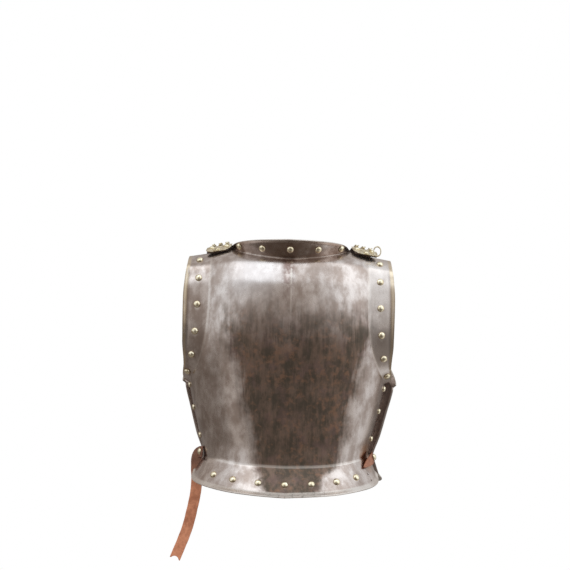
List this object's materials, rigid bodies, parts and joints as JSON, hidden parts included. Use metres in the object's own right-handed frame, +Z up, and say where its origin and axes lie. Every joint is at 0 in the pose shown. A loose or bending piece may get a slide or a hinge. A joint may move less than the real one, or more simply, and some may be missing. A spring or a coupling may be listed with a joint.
{
  "type": "cuirass",
  "caption": "Cavalry cuirass of patinated steel with brass rivets, brass chain shoulder straps and torn leather waist belt, back and breast joined.",
  "frame": {"origin": "between the shoulders, where the shoulder straps sit on the wearer", "axes": "+Z up along the body, +Y the way the wearer faces, +X towards the wearer's right hand; the backplate faces -Y"},
  "size_m": [0.3918, 0.3134, 0.5675],
  "materials": {
    "back_steel": "worn polish with brown and olive patina",
    "breast_steel": "worn polish with light patina",
    "rivet_brass": "polished, domed",
    "strap_brass": "handled",
    "strap_leather": "dark, worn",
    "belt_leather": "dry, reddish brown, torn"
  },
  "bodies": {
    "root": {"backplate": "back_steel", "breastplate": "breast_steel", "rivet_neck_middle": "rivet_brass", "rivet_neck_left_1": "rivet_brass", "rivet_neck_right_1": "rivet_brass", "rivet_neck_left_2": "rivet_brass", "rivet_neck_right_2": "rivet_brass", "rivet_arm_left_1": "rivet_brass", "rivet_arm_right_1": "rivet_brass", "rivet_arm_left_2": "rivet_brass", "rivet_arm_right_2": "rivet_brass", "rivet_arm_left_3": "rivet_brass", "rivet_arm_right_3": "rivet_brass", "rivet_arm_left_4": "rivet_brass", "rivet_arm_right_4": "rivet_brass", "rivet_arm_left_5": "rivet_brass", "rivet_arm_right_5": "rivet_brass", "rivet_arm_left_6": "rivet_brass", "rivet_arm_right_6": "rivet_brass", "rivet_flank_left_1": "rivet_brass", "rivet_flank_right_1": "rivet_brass", "rivet_flank_left_2": "rivet_brass", "rivet_flank_right_2": "rivet_brass", "rivet_flank_left_3": "rivet_brass", "rivet_flank_right_3": "rivet_brass", "rivet_waist_middle": "rivet_brass", "rivet_waist_left_1": "rivet_brass", "rivet_waist_right_1": "rivet_brass", "rivet_waist_left_2": "rivet_brass", "rivet_waist_right_2": "rivet_brass", "rivet_waist_left_3": "rivet_brass", "rivet_waist_right_3": "rivet_brass", "strap_leather_left": "strap_leather", "strap_leather_right": "strap_leather", "strap_rear_plate_left": "strap_brass", "strap_chain_inner_left": "strap_brass", "strap_chain_middle_left": "strap_brass", "strap_chain_outer_left": "strap_brass", "strap_hook_plate_left": "strap_brass", "strap_stud_left": "strap_brass", "strap_rear_plate_right": "strap_brass", "strap_chain_inner_right": "strap_brass", "strap_chain_middle_right": "strap_brass", "strap_chain_outer_right": "strap_brass", "strap_hook_plate_right": "strap_brass", "strap_stud_right": "strap_brass", "belt_strap_left": "belt_leather", "belt_stub_right": "belt_leather", "belt_rivet_left": "rivet_brass", "belt_rivet_right": "rivet_brass"}
  },
  "joints": []
}
